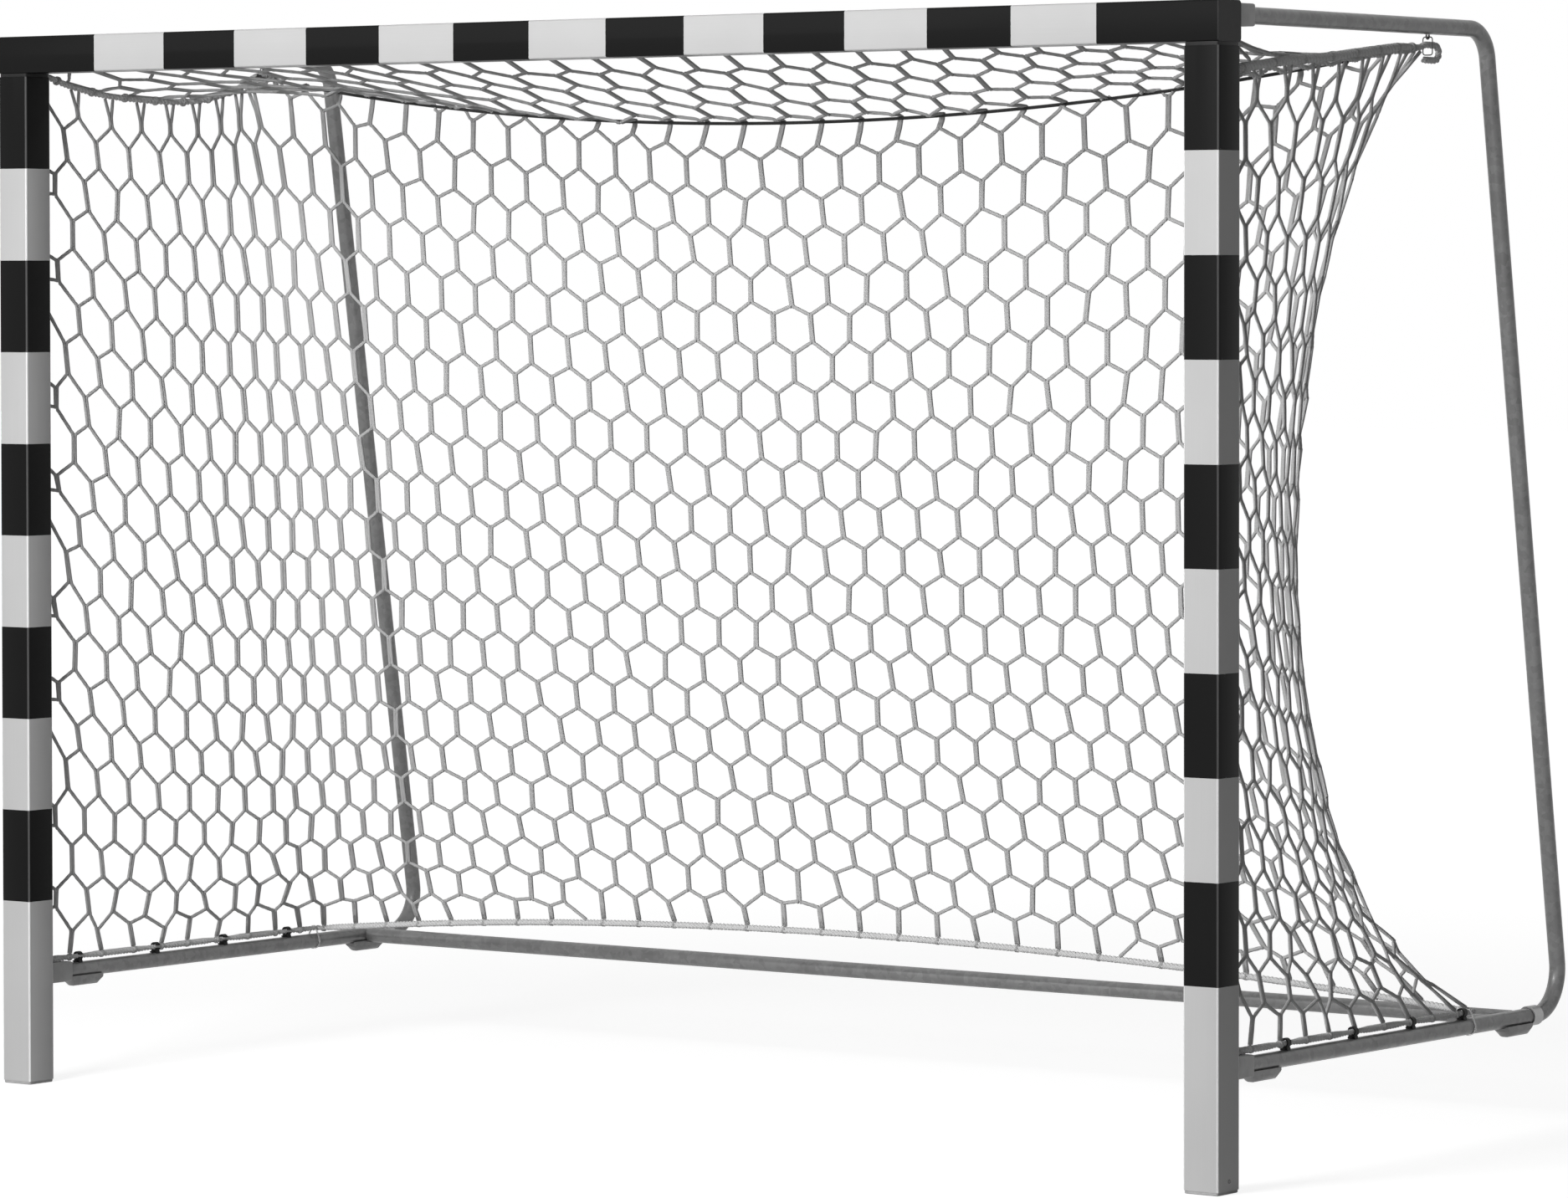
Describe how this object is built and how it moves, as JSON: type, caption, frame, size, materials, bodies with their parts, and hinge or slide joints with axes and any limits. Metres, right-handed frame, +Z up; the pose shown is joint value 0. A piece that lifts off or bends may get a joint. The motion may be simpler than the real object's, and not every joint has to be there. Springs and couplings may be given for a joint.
{
  "type": "handball goal",
  "caption": "Indoor handball goal: square striped aluminium frame with floor-sleeve posts, bent steel hoops and ground frame behind it, and a drawn-in mesh net on hem ropes.",
  "frame": {"origin": "floor level in the plane of the goal mouth, midway between the posts; the posts reach 200 mm below it", "axes": "+X right seen from in front, +Y into the goal, +Z up"},
  "size_m": [3.1638, 1.3758, 2.2875],
  "materials": {
    "striped_aluminium": "powder-coated silver with black bands 200 mm long, satin",
    "cap_black": "moulded, satin",
    "bright_steel": "zinc plated",
    "bracket_grey": "cast and galvanised, dull",
    "galvanised_steel": "galvanised, dull spangle",
    "clip_black": "moulded, satin",
    "clear_plastic": "clear, smooth",
    "net_braid": "flat knotless braid",
    "hem_rope": "laid rope",
    "black_cord": "braided cord"
  },
  "bodies": {
    "frame": {"crossbar": "striped_aluminium", "post_left": "striped_aluminium", "post_right": "striped_aluminium", "crossbar_cap_left": "cap_black", "crossbar_cap_right": "cap_black", "post_foot_left": "cap_black", "post_foot_right": "cap_black", "corner_connector_left": "cap_black", "corner_connector_right": "cap_black", "corner_bolt_left": "bright_steel", "corner_bolt_right": "bright_steel", "foot_rivet_left": "bright_steel", "foot_rivet_right": "bright_steel", "upper_bolt_left": "bright_steel", "upper_bolt_right": "bright_steel", "upper_nut_left": "bright_steel", "upper_nut_right": "bright_steel", "groove_bolt_left": "bright_steel", "groove_bolt_right": "bright_steel", "groove_nut_left": "bright_steel", "groove_nut_right": "bright_steel", "corner_eye_left": "bright_steel", "corner_eye_right": "bright_steel", "upper_bracket_left": "bracket_grey", "upper_bracket_right": "bracket_grey", "lower_bracket_left": "bracket_grey", "lower_bracket_right": "bracket_grey", "hoop_left": "galvanised_steel", "hoop_right": "galvanised_steel", "hoop_sleeve_left": "galvanised_steel", "hoop_sleeve_right": "galvanised_steel", "ground_tube_left": "galvanised_steel", "ground_tube_right": "galvanised_steel", "rear_tube": "galvanised_steel", "skid_pad_front_left": "galvanised_steel", "skid_pad_front_right": "galvanised_steel", "skid_pad_rear_left": "galvanised_steel", "skid_pad_rear_right": "galvanised_steel", "net_clip_left_1": "clip_black", "net_clip_left_2": "clip_black", "net_clip_left_3": "clip_black", "net_clip_left_4": "clip_black", "net_clip_right_1": "clip_black", "net_clip_right_2": "clip_black", "net_clip_right_3": "clip_black", "net_clip_right_4": "clip_black", "corner_tie_left": "clear_plastic", "corner_tie_right": "clear_plastic", "net_left": "net_braid", "net_right": "net_braid", "net_back": "net_braid", "net_roof": "net_braid", "bottom_hem": "hem_rope", "upper_hem_left": "hem_rope", "upper_hem_right": "hem_rope", "roof_cord": "black_cord", "cord_knot_left": "black_cord", "cord_knot_right": "black_cord"},
    "link_left": {"corner_link_left": "bright_steel"},
    "link_right": {"corner_link_right": "bright_steel"}
  },
  "joints": [
    {"name": "corner_link_left", "type": "hinge", "parent": "frame", "child": "link_left", "pos_m": [-1.54, 0.835, 2.03965], "axis": [1, 0, 0], "range_deg": [-25, 25]},
    {"name": "corner_link_right", "type": "hinge", "parent": "frame", "child": "link_right", "pos_m": [1.54, 0.835, 2.03965], "axis": [1, 0, 0], "range_deg": [-25, 25]}
  ]
}
